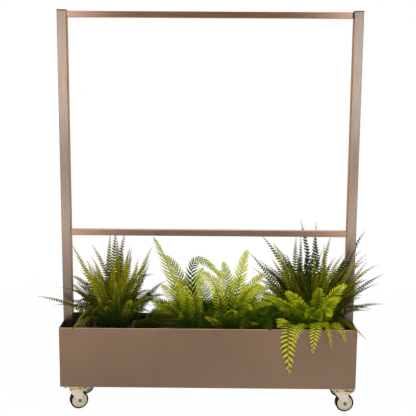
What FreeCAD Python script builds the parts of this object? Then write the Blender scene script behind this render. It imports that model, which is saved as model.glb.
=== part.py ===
"""Rolling planter screen: a sheet-metal planter box on four braked swivel casters, with two posts and two
rails that stand up from it as an open frame, planted with ferns. Millimetres, +Z up, front towards -Y,
origin on the floor under the middle of the box."""
import FreeCAD, Part
import math
import os

V = FreeCAD.Vector
UP = V(0, 0, 1)
ALONG = V(1, 0, 0)
ACROSS = V(0, 1, 0)

# Planter box
box_length = 1219.0
box_depth = 228.6
box_height = 254.0
sheet = 1.5
bend_radius = 3.0
hem_height = 12.0

# Frame tubes
post_length = 1524.0
post_side = 38.0
post_wall = 2.0
post_back_inset = 95.3
rail_side = 25.4
rail_wall = 1.5
tube_corner = 2.0
lower_rail_above_rim = 391.0
top_rail_slack = 7.0

# Tube fittings
cap_rise = 5.0
cap_chamfer = 1.2
cap_plug_depth = 16.0
plug_clearance = 0.2
spigot_length = 30.0
spigot_chamfer = 1.5

# Bolts
bolt_radius = 3.0
bolt_hole_clearance = 0.3
bolt_fit = 0.05
dome_radius = 6.5
dome_height = 2.6
dome_crown_share = 0.55
dome_edge_share = 0.35
hex_corner_share = 0.5774
nut_flats = 10.0
nut_height = 5.0
bolt_tail = 2.0
rail_bolt_grip = 20.0
post_bolt_low = 70.0
post_bolt_high = 200.0

# Liner and soil
liner_wall = 2.5
liner_side_gap = 6.0
liner_end_gap = 14.0
liner_below_rim = 10.0
liner_foot_height = 6.0
liner_foot_width = 20.0
liner_feet = 5
liner_corner = 12.0
soil_below_rim = 30.0
soil_gap = 0.3

# Casters
caster_height = 105.0
caster_end_inset = 55.0
caster_side_inset = 34.0
trail = 16.0
wheel_radius = 37.5
tyre_width = 28.0
tyre_depth = 6.5
tyre_shoulder = 3.0
seat_fit = 0.05
running_fit = 0.05
hub_radius = 11.0
web_thickness = 16.0
rim_depth = 4.0
rim_width = 25.0
sleeve_radius = 6.0
axle_radius = 4.0
axle_head_height = 5.0
axle_nut_flats = 13.0
axle_nut_height = 6.5
fork_gap = 34.0
fork_sheet = 2.5
fork_front = 22.0
fork_rear = 30.0
fork_crown_top = 89.0
fork_bend = 4.0
fork_boss_radius = 11.0
fork_lip = 12.0
side_play = 0.3
plate_length = 92.0
plate_width = 58.0
plate_thickness = 3.0
plate_corner = 6.0
plate_bolt_length = 72.0
plate_bolt_width = 40.0
plate_slot_extra = 3.0
skirt_outer_radius = 24.5
skirt_wall = 2.5
skirt_drop = 8.0
race_radius = 21.5
race_bore_radius = 12.0
race_waist = 2.0
race_waist_low_share = 0.42
race_waist_high_share = 0.58
kingpin_radius = 5.0
kingpin_head_radius = 8.5
kingpin_head_height = 3.3
swivel_play = 0.2

# Brake
pedal_pivot_ahead = 23.0
pedal_pivot_height = 81.5
pedal_knuckle_radius = 4.5
pedal_pin_radius = 3.0
pedal_pin_head_radius = 5.0
pedal_pin_head = 1.5
pedal_thickness = 4.0
pedal_width = 30.0
pedal_flat = 20.0
pedal_rise_run = 14.0
pedal_rise = 9.0
pedal_tip_corner = 6.0
pedal_travel_deg = 18.0
shoe_start = 9.0
shoe_length = 9.0
shoe_width = 22.0
shoe_clearance = 0.5

# Headings of the wheels at rest, and which end and side each caster stands at
CASTERS = {
    "front_left": (-1, -1, 22.0),
    "front_right": (1, -1, 4.0),
    "rear_left": (-1, 1, 18.0),
    "rear_right": (1, 1, 2.0),
}

# Ferns
sword_reach = 400.0
sword_width = 30.0
feather_reach = 300.0
feather_width = 72.0
hanging_width = 70.0
drooping_width = 46.0
frond_thickness = 1.6
stem_width = 3.6
hanging_side_inset = 35.0
left_crown_shares = (-0.617, -0.27)
left_back_crown_shares = (-0.66, 0.30)
middle_left_crown_shares = (-0.098, -0.38)
middle_right_crown_shares = (0.148, -0.41)
shaded_crown_shares = (0.353, -0.39)
middle_back_crown_shares = (0.06, 0.30)
right_crown_shares = (0.712, -0.24)
right_back_crown_shares = (0.64, 0.30)
spreading_crown_shares = (0.722, -0.65)
hanging_crown_share = 0.561
drooping_crown_share = 0.706
crown_share = 0.16
sword_bend_share = 0.34
feather_bend_share = 0.30
loop_bend_share = -0.90
hanging_bend_share = 0.74
sword_facing_share = 0.78
feather_facing_share = 0.60
spreading_facing_share = 0.80
hanging_facing_share = 0.0
level_arch_share = 0.20
control_rise_share = 0.62
FROND_STATION_SHARES = (0.0, 0.16, 0.36, 0.62, 0.86)
SWORD_WIDTH_SHARES = (0.13, 0.70, 1.0, 0.92, 0.50)
FEATHER_WIDTH_SHARES = (0.05, 0.40, 1.0, 1.0, 0.60)

# Each row: how far the tip stands along, behind and above its crown, and how far the frond arches over, all
# as shares of the fern's reach
LEFT_FROND_SHARES = (
    (-0.81, -0.16, 0.39, 0.14),
    (-0.56, -0.20, 0.50, 0.10),
    (-0.46, -0.12, 0.94, 0.03),
    (-0.34, -0.27, 0.78, 0.05),
    (-0.30, 0.22, 0.86, 0.04),
    (-0.25, -0.16, 0.82, 0.03),
    (-0.19, -0.30, 0.76, 0.05),
    (-0.10, 0.24, 1.00, 0.02),
    (-0.03, 0.20, 1.05, 0.02),
    (0.06, 0.22, 1.01, 0.02),
    (0.00, -0.12, 0.90, 0.02),
    (0.14, -0.20, 0.88, 0.03),
    (0.19, 0.26, 0.70, 0.06),
    (0.24, -0.22, 0.73, 0.05),
    (0.35, 0.12, 0.86, 0.04),
    (-0.52, -0.28, 0.00, 0.36),
    (-0.60, 0.26, 0.46, 0.12),
    (0.02, -0.36, 0.62, 0.09),
    (-0.14, -0.385, 0.40, 0.16),
    (0.19, -0.385, 0.42, 0.15),
    (0.44, -0.26, 0.42, 0.15),
    (-0.36, -0.38, 0.30, 0.20),
    (0.30, 0.36, 0.62, 0.08),
    (0.10, 0.41, 0.78, 0.06),
    (-0.13, 0.42, 0.70, 0.07),
    (-0.33, 0.39, 0.60, 0.09),
    (0.50, 0.02, 0.52, 0.12),
    (0.36, -0.10, 0.28, 0.18),
    (0.40, 0.24, 0.34, 0.16),
)
RIGHT_FROND_SHARES = (
    (-0.68, -0.10, 0.86, 0.05),
    (-0.54, 0.25, 0.98, 0.04),
    (-0.42, -0.14, 0.96, 0.03),
    (-0.40, 0.32, 0.86, 0.05),
    (-0.12, 0.22, 1.14, 0.02),
    (0.05, 0.24, 1.12, 0.02),
    (-0.08, -0.18, 0.95, 0.02),
    (0.08, -0.15, 0.96, 0.02),
    (0.22, 0.28, 0.97, 0.03),
    (0.26, -0.28, 0.88, 0.04),
    (0.36, -0.20, 0.94, 0.03),
    (0.44, -0.15, 0.99, 0.03),
    (0.49, -0.25, 0.88, 0.05),
    (0.53, -0.10, 0.80, 0.06),
    (0.60, 0.38, 1.00, 0.04),
    (0.62, -0.19, 0.76, 0.06),
    (0.70, -0.15, 0.65, 0.08),
    (0.57, 0.44, 0.60, 0.10),
    (0.69, -0.24, 0.36, 0.17),
    (0.52, -0.29, 0.00, 0.36),
    (-0.16, -0.20, 0.70, 0.07),
    (-0.10, 0.42, 0.74, 0.07),
    (-0.34, 0.43, 0.58, 0.10),
    (0.26, 0.44, 0.62, 0.09),
    (-0.56, 0.15, 0.52, 0.12),
    (-0.30, -0.20, 0.82, 0.05),
    (-0.20, -0.24, 0.90, 0.04),
    (0.60, 0.34, 0.46, 0.14),
)
MIDDLE_LEFT_FROND_SHARES = (
    (-0.55, -0.07, 1.34, 0.06),
    (-0.40, 0.24, 1.02, 0.06),
    (-0.29, -0.17, 0.83, 0.16),
    (-0.45, -0.16, 0.69, 0.18),
    (-0.11, -0.26, 0.71, 0.20),
    (-0.56, -0.20, 0.42, 0.22),
    (-0.66, 0.20, 0.40, 0.20),
    (-0.18, -0.35, 0.32, 0.28),
    (-0.34, 0.46, 0.52, 0.16),
    (0.12, 0.46, 0.80, 0.12),
    (0.10, -0.20, 0.55, 0.24),
)
LOOP_FROND_SHARES = (
    (0.42, -0.20, 0.77, 1.04),
)
MIDDLE_RIGHT_FROND_SHARES = (
    (0.23, -0.05, 1.17, 0.05),
    (0.47, -0.09, 0.85, 0.12),
    (0.43, -0.19, 0.72, 0.18),
    (-0.10, 0.32, 0.92, 0.08),
    (-0.39, -0.12, 0.87, 0.20),
    (0.56, 0.10, 0.62, 0.18),
    (0.58, -0.24, 0.46, 0.24),
    (0.30, -0.30, 0.40, 0.28),
    (0.06, -0.34, 0.34, 0.28),
    (-0.22, -0.34, 0.30, 0.30),
    (0.26, 0.46, 0.56, 0.16),
)
SHADED_FROND_SHARES = (
    (-0.34, -0.12, 0.40, 0.34),
    (0.06, -0.16, 0.42, 0.34),
    (0.24, 0.10, 0.44, 0.30),
    (-0.46, -0.18, 0.22, 0.32),
    (0.36, 0.00, 0.20, 0.30),
    (-0.28, -0.24, 0.10, 0.24),
    (0.14, -0.25, 0.09, 0.26),
)
SPREADING_FROND_SHARES = (
    (0.40, -0.14, 0.74, 0.14),
    (0.03, -0.16, 0.70, 0.16),
    (0.30, -0.20, 0.54, 0.22),
    (-0.43, -0.12, 0.62, 0.20),
    (-0.74, -0.10, 0.56, 0.18),
    (0.20, -0.20, 0.30, 0.34),
    (-0.16, -0.22, 0.30, 0.32),
)
HANGING_FROND_SHARES = (
    (-0.04, -0.21, -0.49, 0.84),
    (-0.20, -0.14, 0.14, 0.36),
)
DROOPING_FROND_SHARES = (
    (-0.30, -0.22, -0.14, 0.56),
    (-0.02, -0.21, -0.20, 0.62),
    (0.24, -0.22, -0.12, 0.58),
    (0.44, -0.20, -0.04, 0.46),
)
LEFT_BACK_FROND_SHARES = (
    (-0.34, 0.36, 0.62, 0.10),
    (-0.10, 0.38, 0.70, 0.08),
    (0.16, 0.37, 0.66, 0.09),
    (0.40, 0.30, 0.48, 0.14),
    (-0.52, 0.18, 0.50, 0.12),
    (0.02, 0.16, 0.92, 0.03),
)
RIGHT_BACK_FROND_SHARES = (
    (-0.40, 0.34, 0.56, 0.11),
    (-0.16, 0.38, 0.68, 0.08),
    (0.10, 0.37, 0.72, 0.08),
    (0.34, 0.33, 0.58, 0.10),
    (0.56, 0.20, 0.50, 0.13),
    (-0.04, 0.16, 0.96, 0.03),
)
MIDDLE_BACK_FROND_SHARES = (
    (-0.62, 0.30, 0.56, 0.18),
    (-0.30, 0.46, 0.62, 0.16),
    (0.06, 0.48, 0.70, 0.14),
    (0.40, 0.44, 0.58, 0.17),
    (0.70, 0.26, 0.50, 0.20),
)

# Where a cut runs past what it cuts
overrun = 1.0

# How far out of true an edge may run and still count as straight along a direction
parallel_share = 0.001

# Levels and places that follow from the sizes above
floor_top = caster_height + sheet
rim = caster_height + box_height
post_top = floor_top + post_length
end_inside = box_length / 2 - sheet
post_inside = end_inside - post_side
post_middle = end_inside - post_side / 2
rail_middle_top = post_top - rail_side / 2
rail_middle_low = rim + lower_rail_above_rim - rail_side / 2
liner_end = post_inside - liner_end_gap
liner_side = box_depth / 2 - sheet - liner_side_gap
liner_base = floor_top + liner_foot_height
soil_top = rim - soil_below_rim
kingpin_end = box_length / 2 - caster_end_inset
kingpin_side = box_depth / 2 - caster_side_inset
post_set_back = box_depth / 2 - post_back_inset - post_side / 2
plate_base = caster_height - plate_thickness
rim_radius = wheel_radius - tyre_depth
fork_half = fork_gap / 2
fork_outside = fork_half + fork_sheet


def save(name, *solids):
    """Write the solids of one piece, or of one group of like pieces, under its name."""
    shape = solids[0] if len(solids) == 1 else Part.makeCompound(list(solids))
    shape.exportStep(os.path.join("parts", name + ".step"))


def block(low, high):
    """A box between two corners."""
    size = high - low
    return Part.makeBox(size.x, size.y, size.z, low)


def rod(radius, start, end):
    """A round bar between two points."""
    line = end - start
    return Part.makeCylinder(radius, line.Length, start, line)


def outline_face(points):
    """A flat face inside a closed outline of straight lines."""
    return Part.Face(Part.makePolygon(points + points[:1]))


def ring(profile):
    """A body of revolution about the Y axis through the origin, from (radius, y) points."""
    face = outline_face([V(radius, y, 0) for radius, y in profile])
    return face.revolve(V(0, 0, 0), ACROSS, 360)


def upright_ring(profile):
    """A body of revolution about the Z axis through the origin, from (radius, z) points."""
    face = outline_face([V(radius, 0, z) for radius, z in profile])
    return face.revolve(V(0, 0, 0), UP, 360)


def edges_along(shape, direction, test):
    """The straight edges of a shape that run one way and whose middle passes a test."""
    found = []
    for edge in shape.Edges:
        ends = edge.Vertexes
        if len(ends) != 2:
            continue
        line = ends[1].Point - ends[0].Point
        straight = line.cross(direction).Length < parallel_share * line.Length
        if straight and test(edge.CenterOfMass):
            found.append(edge)
    return found


def square_tube(side, wall, start, end):
    """A square tube with rounded corners between two points on its middle line."""
    line = end - start
    middle = FreeCAD.Placement(start, FreeCAD.Rotation(UP, line))
    outer = block(V(-side / 2, -side / 2, 0), V(side / 2, side / 2, line.Length))
    outer = outer.makeFillet(tube_corner, edges_along(outer, UP, lambda at: True))
    inner_half = side / 2 - wall
    inner = block(V(-inner_half, -inner_half, -overrun), V(inner_half, inner_half, line.Length + overrun))
    tube = outer.cut(inner)
    tube.Placement = middle
    return tube


def dome_bolt(length):
    """A round-headed bolt whose shank runs up from the origin, where the underside of its head is."""
    crown = dome_radius * dome_crown_share
    edge = dome_height * dome_edge_share
    return upright_ring([(0, -dome_height), (crown, -dome_height), (dome_radius, -edge), (dome_radius, 0),
                         (bolt_radius, 0), (bolt_radius, length), (0, length)])


def hex_nut(flats, height, bore):
    """A hexagon nut standing on the origin."""
    corner = flats * hex_corner_share
    corners = [FreeCAD.Rotation(UP, 60 * n).multVec(ALONG * corner) for n in range(6)]
    body = outline_face(corners).extrude(UP * height)
    return body.cut(rod(bore, UP * -overrun, UP * (height + overrun)))


def turned(shape, axis, at):
    """A copy of a shape that runs up from the origin, set to run along an axis from a place."""
    copy = shape.copy()
    copy.Placement = FreeCAD.Placement(at, FreeCAD.Rotation(UP, axis))
    return copy


def caster_places():
    """Where each kingpin stands on the floor plan."""
    return {name: V(end * kingpin_end, side * kingpin_side, 0) for name, (end, side, _) in CASTERS.items()}


def caster_bolt_places():
    """Where the caster bolts pass through the trough floor."""
    spread = [V(x * plate_bolt_length / 2, y * plate_bolt_width / 2, 0) for x in (-1, 1) for y in (-1, 1)]
    return [place + step for place in caster_places().values() for step in spread]


def make_trough():
    half = box_depth / 2
    low, high = caster_height, rim
    hem_foot = high - hem_height
    hem_top = high - sheet
    inner_bend = bend_radius - sheet
    slant = math.sqrt(0.5)

    def at(y, z):
        return V(-end_inside, y, z)

    def line(*points):
        return [Part.makeLine(a, b) for a, b in zip(points, points[1:])]

    def hem_arc(side):
        return Part.Arc(at(side * half, hem_top), at(side * (half - sheet), high),
                        at(side * (half - 2 * sheet), hem_top)).toShape()

    def bend_arc(side, radius):
        centre_y, centre_z = side * (half - bend_radius), low + bend_radius
        return Part.Arc(at(centre_y + side * radius, centre_z),
                        at(centre_y + side * radius * slant, centre_z - radius * slant),
                        at(centre_y, centre_z - radius)).toShape()

    edges = []
    for side in (-1, 1):
        edges.append(hem_arc(side))
        edges += line(at(side * (half - 2 * sheet), hem_top), at(side * (half - 2 * sheet), hem_foot),
                      at(side * (half - sheet), hem_foot), at(side * (half - sheet), low + bend_radius))
        edges.append(bend_arc(side, inner_bend))
        edges += line(at(side * half, hem_top), at(side * half, low + bend_radius))
        edges.append(bend_arc(side, bend_radius))
    bottom = half - bend_radius
    edges += line(at(-bottom, floor_top), at(bottom, floor_top))
    edges += line(at(-bottom, low), at(bottom, low))
    profile = Part.Face(Part.Wire(Part.__sortEdges__(edges)))
    trough = profile.extrude(ALONG * (2 * end_inside))
    hole = bolt_radius + bolt_hole_clearance
    under, over = UP * (low - overrun), UP * (floor_top + overrun)
    return trough.cut([rod(hole, place + under, place + over) for place in caster_bolt_places()])


def post_bolt_heights():
    return [floor_top + post_bolt_low, floor_top + post_bolt_high]


def bolt_holes(side, heights, reach):
    """Clear holes through a post, from the outside of the box inwards, at these heights."""
    hole = bolt_radius + bolt_hole_clearance
    outer = box_length / 2 + overrun
    return [rod(hole, V(side * outer, post_set_back, z), V(side * (outer - reach), post_set_back, z))
            for z in heights]


def make_end_panel(side):
    half = box_depth / 2
    panel = block(V(end_inside, -half, caster_height), V(end_inside + sheet, half, rim))
    panel = panel.makeFillet(bend_radius, edges_along(panel, ALONG, lambda at: at.z < floor_top))
    shoulders = edges_along(panel, ALONG, lambda at: at.z > rim - sheet and abs(at.y) > half - sheet)
    panel = panel.makeFillet(sheet, shoulders)
    if side < 0:
        panel = panel.mirror(V(0, 0, 0), ALONG)
    return panel.cut(bolt_holes(side, post_bolt_heights(), 2 * overrun + 2 * sheet))


def make_post(side):
    foot = V(side * post_middle, post_set_back, floor_top)
    post = square_tube(post_side, post_wall, foot, foot + UP * post_length)
    heights = post_bolt_heights() + [rail_middle_low, rail_middle_top]
    return post.cut(bolt_holes(side, heights, sheet + post_side + 2 * overrun))


def make_post_cap(side):
    """A plug that stands in the post's open top, with a chamfered cover as wide as the post."""
    half = post_side / 2
    plug_half = half - post_wall - plug_clearance
    cover = block(V(-half, -half, 0), V(half, half, cap_rise))
    brow = [edge for edge in cover.Edges if edge.CenterOfMass.z > cap_rise - cap_chamfer]
    cover = cover.makeChamfer(cap_chamfer, brow)
    plug_foot = -min(cap_plug_depth, rail_side / 2 - bolt_radius - 2 * bolt_hole_clearance)
    plug = block(V(-plug_half, -plug_half, plug_foot), V(plug_half, plug_half, 0))
    cap = cover.fuse(plug)
    cap.translate(V(side * post_middle, post_set_back, post_top))
    return cap


def make_rail(height, slack):
    start = V(-post_inside, post_set_back, height)
    end = V(post_inside - slack, post_set_back, height)
    return square_tube(rail_side, rail_wall, start, end)


def make_spigots():
    """The plugs that stand on the posts and carry the rail ends."""
    half = rail_side / 2 - rail_wall - plug_clearance
    plug = block(V(-half, -half, 0), V(half, half, spigot_length))
    nose = [edge for edge in plug.Edges if edge.CenterOfMass.z > spigot_length - spigot_chamfer]
    plug = plug.makeChamfer(spigot_chamfer, nose)
    plug = plug.cut(rod(bolt_radius + bolt_fit, UP * -overrun, UP * (rail_bolt_grip + bolt_tail)))
    return [turned(plug, ALONG * -side, V(side * post_inside, post_set_back, z))
            for side in (-1, 1) for z in (rail_middle_low, rail_middle_top)]


def make_rail_bolts():
    bolt = dome_bolt(post_side + rail_bolt_grip)
    return [turned(bolt, ALONG * -side, V(side * end_inside, post_set_back, z))
            for side in (-1, 1) for z in (rail_middle_low, rail_middle_top)]


def make_post_bolts():
    """Bolts through the end panels and posts, with their nuts inside the box."""
    bolt = dome_bolt(sheet + post_side + nut_height + bolt_tail)
    nut = hex_nut(nut_flats, nut_height, bolt_radius + bolt_fit)
    pieces = []
    for side in (-1, 1):
        for z in post_bolt_heights():
            pieces.append(turned(bolt, ALONG * -side, V(side * box_length / 2, post_set_back, z)))
            pieces.append(turned(nut, ALONG * -side, V(side * post_inside, post_set_back, z)))
    return pieces


def liner_block(inset, low, high):
    """A block with rounded upright corners, set in from the liner's outside."""
    end, side = liner_end - inset, liner_side - inset
    body = block(V(-end, -side, low), V(end, side, high))
    return body.makeFillet(liner_corner - inset, edges_along(body, UP, lambda at: True))


def make_liner():
    """A plastic tray on cross feet, which clear the bolt heads in the trough floor."""
    tray = liner_block(0, liner_base, rim - liner_below_rim)
    tray = tray.cut(liner_block(liner_wall, liner_base + liner_wall, rim))
    pitch = 2 * (liner_end - liner_corner) / liner_feet
    first = -(liner_feet - 1) * pitch / 2
    feet = []
    for n in range(liner_feet):
        middle = first + n * pitch
        feet.append(block(V(middle - liner_foot_width / 2, -liner_side + liner_corner, floor_top),
                          V(middle + liner_foot_width / 2, liner_side - liner_corner, liner_base)))
    return tray.fuse(feet).removeSplitter()


def make_soil():
    return liner_block(liner_wall + soil_gap, liner_base + liner_wall + soil_gap, soil_top)


def make_caster_bolts():
    """Round-headed bolts that drop through the trough floor, and the nuts under the caster plates."""
    bolt = dome_bolt(sheet + plate_thickness + nut_height + bolt_tail)
    return [turned(bolt, -UP, at + UP * floor_top) for at in caster_bolt_places()]


def make_caster_nuts():
    nut = hex_nut(nut_flats, nut_height, bolt_radius + bolt_fit)
    return [turned(nut, -UP, at + UP * plate_base) for at in caster_bolt_places()]


def make_plate():
    """The fixed top plate with four slots, and the pressed skirt that covers the swivel race."""
    half = V(plate_length / 2, plate_width / 2, 0)
    plate = block(-half + UP * plate_base, half + UP * caster_height)
    plate = plate.makeFillet(plate_corner, edges_along(plate, UP, lambda at: True))
    skirt = upright_ring([(skirt_outer_radius - skirt_wall, plate_base - skirt_drop),
                          (skirt_outer_radius, plate_base - skirt_drop),
                          (skirt_outer_radius, plate_base), (skirt_outer_radius - skirt_wall, plate_base)])
    plate = plate.fuse(skirt).removeSplitter()
    hole = bolt_radius + bolt_hole_clearance
    low, high = UP * (plate_base - overrun), UP * (caster_height + overrun)
    cuts = [rod(kingpin_radius + seat_fit, low, high)]
    for x in (-1, 1):
        for y in (-1, 1):
            middle = V(x * plate_bolt_length / 2, y * plate_bolt_width / 2, 0)
            side = V(plate_slot_extra / 2, 0, 0)
            cuts += [rod(hole, middle + way + low, middle + way + high) for way in (-side, side)]
            cuts.append(block(middle - side - V(0, hole, 0) + low, middle + side + V(0, hole, 0) + high))
    return plate.cut(cuts)


def make_kingpin():
    """The rivet that holds the fork up under the plate: shank, and a head below the fork crown."""
    head_top = fork_crown_top - fork_sheet - swivel_play
    head_foot = head_top - kingpin_head_height
    return upright_ring([(0, head_foot), (kingpin_head_radius, head_foot),
                         (kingpin_head_radius, head_top), (kingpin_radius, head_top),
                         (kingpin_radius, caster_height), (0, caster_height)])


def make_race():
    """The swivel race that stands on the fork crown, with a waist between its two tracks."""
    low, high = fork_crown_top, plate_base - swivel_play
    third = (high - low) / 3
    waist = race_radius - race_waist
    waist_low = low + (high - low) * race_waist_low_share
    waist_high = low + (high - low) * race_waist_high_share
    return upright_ring([(race_bore_radius, low), (race_radius, low), (race_radius, low + third),
                         (waist, waist_low), (waist, waist_high),
                         (race_radius, high - third), (race_radius, high), (race_bore_radius, high)])


def make_fork():
    """A pressed fork: crown, two legs that narrow to the axle bosses, and a lip across the front."""
    axle = V(trail, 0, wheel_radius)
    crown = fork_crown_top
    knee = (crown + wheel_radius) / 2
    side = [V(-fork_front, 0, crown), V(fork_rear, 0, crown), V(fork_rear, 0, crown - fork_lip - fork_bend),
            V(trail + fork_boss_radius, 0, wheel_radius), V(trail - fork_boss_radius, 0, wheel_radius),
            V(-fork_front / 2, 0, knee), V(-fork_front, 0, crown - fork_lip)]
    leg = outline_face([point - ACROSS * fork_outside for point in side])
    body = leg.extrude(ACROSS * (2 * fork_outside))
    body = body.fuse(rod(fork_boss_radius, axle - ACROSS * fork_outside, axle + ACROSS * fork_outside))
    body = body.removeSplitter()
    shoulders = edges_along(body, ALONG, lambda at: at.z > crown - overrun and abs(at.y) > fork_half)
    body = body.makeFillet(fork_bend, shoulders)
    under = crown - fork_sheet
    beyond = fork_rear + overrun
    hollow = block(V(-fork_front + fork_sheet, -fork_half, 0), V(beyond, fork_half, under))
    mouth = block(V(-fork_front - overrun, -fork_half, 0), V(0, fork_half, crown - fork_lip))
    through = ACROSS * (fork_outside + overrun)
    pivot = V(pedal_pivot_ahead, 0, pedal_pivot_height)
    return body.cut([hollow, mouth,
                     rod(kingpin_radius + running_fit, UP * (under - overrun), UP * (crown + overrun)),
                     rod(axle_radius + seat_fit, axle - through, axle + through),
                     rod(pedal_pin_radius + seat_fit, pivot - through, pivot + through)])


def at_axle(shape):
    shape.translate(V(trail, 0, wheel_radius))
    return shape


def make_axle():
    """The axle bolt with its head on one side of the fork and its nut on the other."""
    near, far = ACROSS * -fork_outside, ACROSS * fork_outside
    head = turned(hex_nut(axle_nut_flats, axle_head_height, axle_radius), -ACROSS, near)
    shank = rod(axle_radius, near - ACROSS * axle_head_height, far + ACROSS * axle_nut_height)
    bolt = head.fuse(shank).removeSplitter()
    nut = turned(hex_nut(axle_nut_flats, axle_nut_height, axle_radius + seat_fit), ACROSS, far)
    return [at_axle(bolt), at_axle(nut)]


def make_sleeve():
    inner = axle_radius + seat_fit
    half = fork_half
    return at_axle(ring([(inner, -half), (sleeve_radius, -half), (sleeve_radius, half), (inner, half)]))


def make_wheel():
    """The wheel core: hub, web and rim, dished on both faces."""
    bore = sleeve_radius + running_fit
    hub_half = fork_half - side_play
    web_half, rim_half = web_thickness / 2, rim_width / 2
    rim_inner = rim_radius - rim_depth
    half_profile = [(bore, hub_half), (hub_radius, hub_half), (hub_radius + rim_depth, web_half),
                    (rim_inner, web_half), (rim_inner, rim_half), (rim_radius, rim_half)]
    mirrored = [(radius, -y) for radius, y in reversed(half_profile)]
    return at_axle(ring(half_profile + mirrored))


def make_tyre():
    half = tyre_width / 2
    inner = rim_radius + seat_fit
    shoulder = wheel_radius - tyre_shoulder
    tread_half = half - tyre_shoulder
    return at_axle(ring([(inner, -half), (shoulder, -half), (wheel_radius, -tread_half),
                         (wheel_radius, tread_half), (shoulder, half), (inner, half)]))


def make_pedal():
    """The brake lever: a knuckle on its pin, a flat arm, a raised tread and the shoe that meets the tyre."""
    half = pedal_thickness / 2
    bend = pedal_flat
    slope = math.hypot(pedal_rise_run, pedal_rise)
    lift = V(-pedal_rise, 0, pedal_rise_run) * (pedal_thickness / slope)
    toe = V(bend + pedal_rise_run, 0, pedal_rise - half)
    side = [V(0, 0, -half), V(bend, 0, -half), toe, toe + lift, V(bend - half, 0, half), V(0, 0, half)]
    arm = outline_face([point - ACROSS * (pedal_width / 2) for point in side]).extrude(ACROSS * pedal_width)
    tip_start = bend + pedal_rise_run - pedal_thickness
    tip_edges = [edge for edge in arm.Edges if edge.CenterOfMass.x > tip_start]
    short_edges = [edge for edge in tip_edges if edge.Length < 2 * pedal_thickness]
    corners = [edge for edge in short_edges if abs(edge.CenterOfMass.y) > half]
    arm = arm.makeFillet(pedal_tip_corner, corners)
    knuckle_half = fork_half - side_play
    knuckle = rod(pedal_knuckle_radius, ACROSS * -knuckle_half, ACROSS * knuckle_half)
    # The shoe is shaped where the pedal is pressed, flat against the tyre, and then turned back to rest
    axle = V(trail - pedal_pivot_ahead, 0, wheel_radius - pedal_pivot_height)
    along = shoe_start + shoe_length / 2
    travel = math.radians(pedal_travel_deg)
    middle = V(along * math.cos(travel), 0, -along * math.sin(travel))
    out = (middle - axle).normalize()
    face = axle + out * (wheel_radius + shoe_clearance)
    tangent = V(out.z, 0, -out.x)
    depth = (middle - face).Length
    corners = [face - tangent * (shoe_length / 2), face + tangent * (shoe_length / 2)]
    corners += [corners[1] + out * depth, corners[0] + out * depth]
    shoe = outline_face([point - ACROSS * (shoe_width / 2) for point in corners]).extrude(ACROSS * shoe_width)
    shoe.rotate(V(0, 0, 0), ACROSS, -pedal_travel_deg)
    pedal = arm.fuse([knuckle, shoe]).removeSplitter()
    reach = ACROSS * (fork_half + overrun)
    pedal = pedal.cut(rod(pedal_pin_radius + running_fit, -reach, reach))
    pedal.translate(V(pedal_pivot_ahead, 0, pedal_pivot_height))
    return pedal


def make_pedal_pin():
    half = fork_outside
    head = half + pedal_pin_head
    near = [(0, -head), (pedal_pin_head_radius, -head), (pedal_pin_head_radius, -half),
            (pedal_pin_radius, -half)]
    pin = ring(near + [(radius, -y) for radius, y in reversed(near)])
    pin.translate(V(pedal_pivot_ahead, 0, pedal_pivot_height))
    return pin


def leaf_solid(sections, tip):
    """A closed solid of flat facets through four-cornered sections, drawn to a point at the tip."""
    facets = [sections[0][:3], sections[0][2:] + sections[0][:1]]
    for near, far in zip(sections, sections[1:]):
        for n in range(len(near)):
            after = (n + 1) % len(near)
            facets.append([near[n], near[after], far[after]])
            facets.append([near[n], far[after], far[n]])
    last = sections[-1]
    facets += [[last[n], last[(n + 1) % len(last)], tip] for n in range(len(last))]
    solid = Part.Solid(Part.Shell([outline_face(facet) for facet in facets]))
    if solid.Volume < 0:
        solid.reverse()
    return solid


def make_frond(crown, shares, fern):
    """A leaf blade that rises from the soil on a smooth bow: narrow stem, full middle, pointed tip."""
    along, behind, above, arch = shares
    ground = V(crown[0], crown[1], soil_top)
    lean = V(along, behind, 0) * fern["reach"]
    base = ground + lean * crown_share
    tip = ground + lean + UP * (above * fern["reach"])
    bow = base + (V(tip.x, tip.y, base.z) - base) * fern["bend_share"]
    bow.z = base.z + (tip.z - base.z) * control_rise_share + arch * fern["reach"]
    outward = V(lean).normalize()
    level = UP.cross(outward)
    front = ACROSS.cross((tip - base).normalize())
    front *= 1 if front.dot(level) > 0 else -1
    facing = fern["facing_share"] * abs(outward.x) * max(1 - arch / level_arch_share, 0)
    turned = level * (1 - facing) + front * facing
    sections = []
    for station, width_share in zip(FROND_STATION_SHARES, fern["width_shares"]):
        left = 1 - station
        at = base * (left * left) + bow * (2 * left * station) + tip * (station * station)
        heading = ((bow - base) * left + (tip - bow) * station).normalize() if station else UP
        broad = (turned - heading * turned.dot(heading)).normalize()
        thin = broad.cross(heading).normalize()
        wide = broad * (max(fern["width"] * width_share, stem_width) / 2)
        deep = thin * (frond_thickness / 2)
        sections.append([at - wide, at + deep, at + wide, at - deep])
    return leaf_solid(sections, tip)


def crown_at(shares):
    """Where a fern's crown stands on the floor plan, from its shares of half the box's length and depth."""
    return shares[0] * box_length / 2, shares[1] * box_depth / 2


def make_clump(crown, table, fern):
    return [make_frond(crown, shares, fern) for shares in table]


def save_box_and_frame():
    save("trough", make_trough())
    save("left_end_panel", make_end_panel(-1))
    save("right_end_panel", make_end_panel(1))
    save("left_post", make_post(-1))
    save("right_post", make_post(1))
    save("post_caps", make_post_cap(-1), make_post_cap(1))
    save("top_rail", make_rail(rail_middle_top, top_rail_slack))
    save("lower_rail", make_rail(rail_middle_low, 0))
    save("rail_spigots", *make_spigots())
    save("rail_bolts", *make_rail_bolts())
    save("post_bolts", *make_post_bolts())
    save("caster_bolts", *make_caster_bolts())
    save("caster_nuts", *make_caster_nuts())


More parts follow.
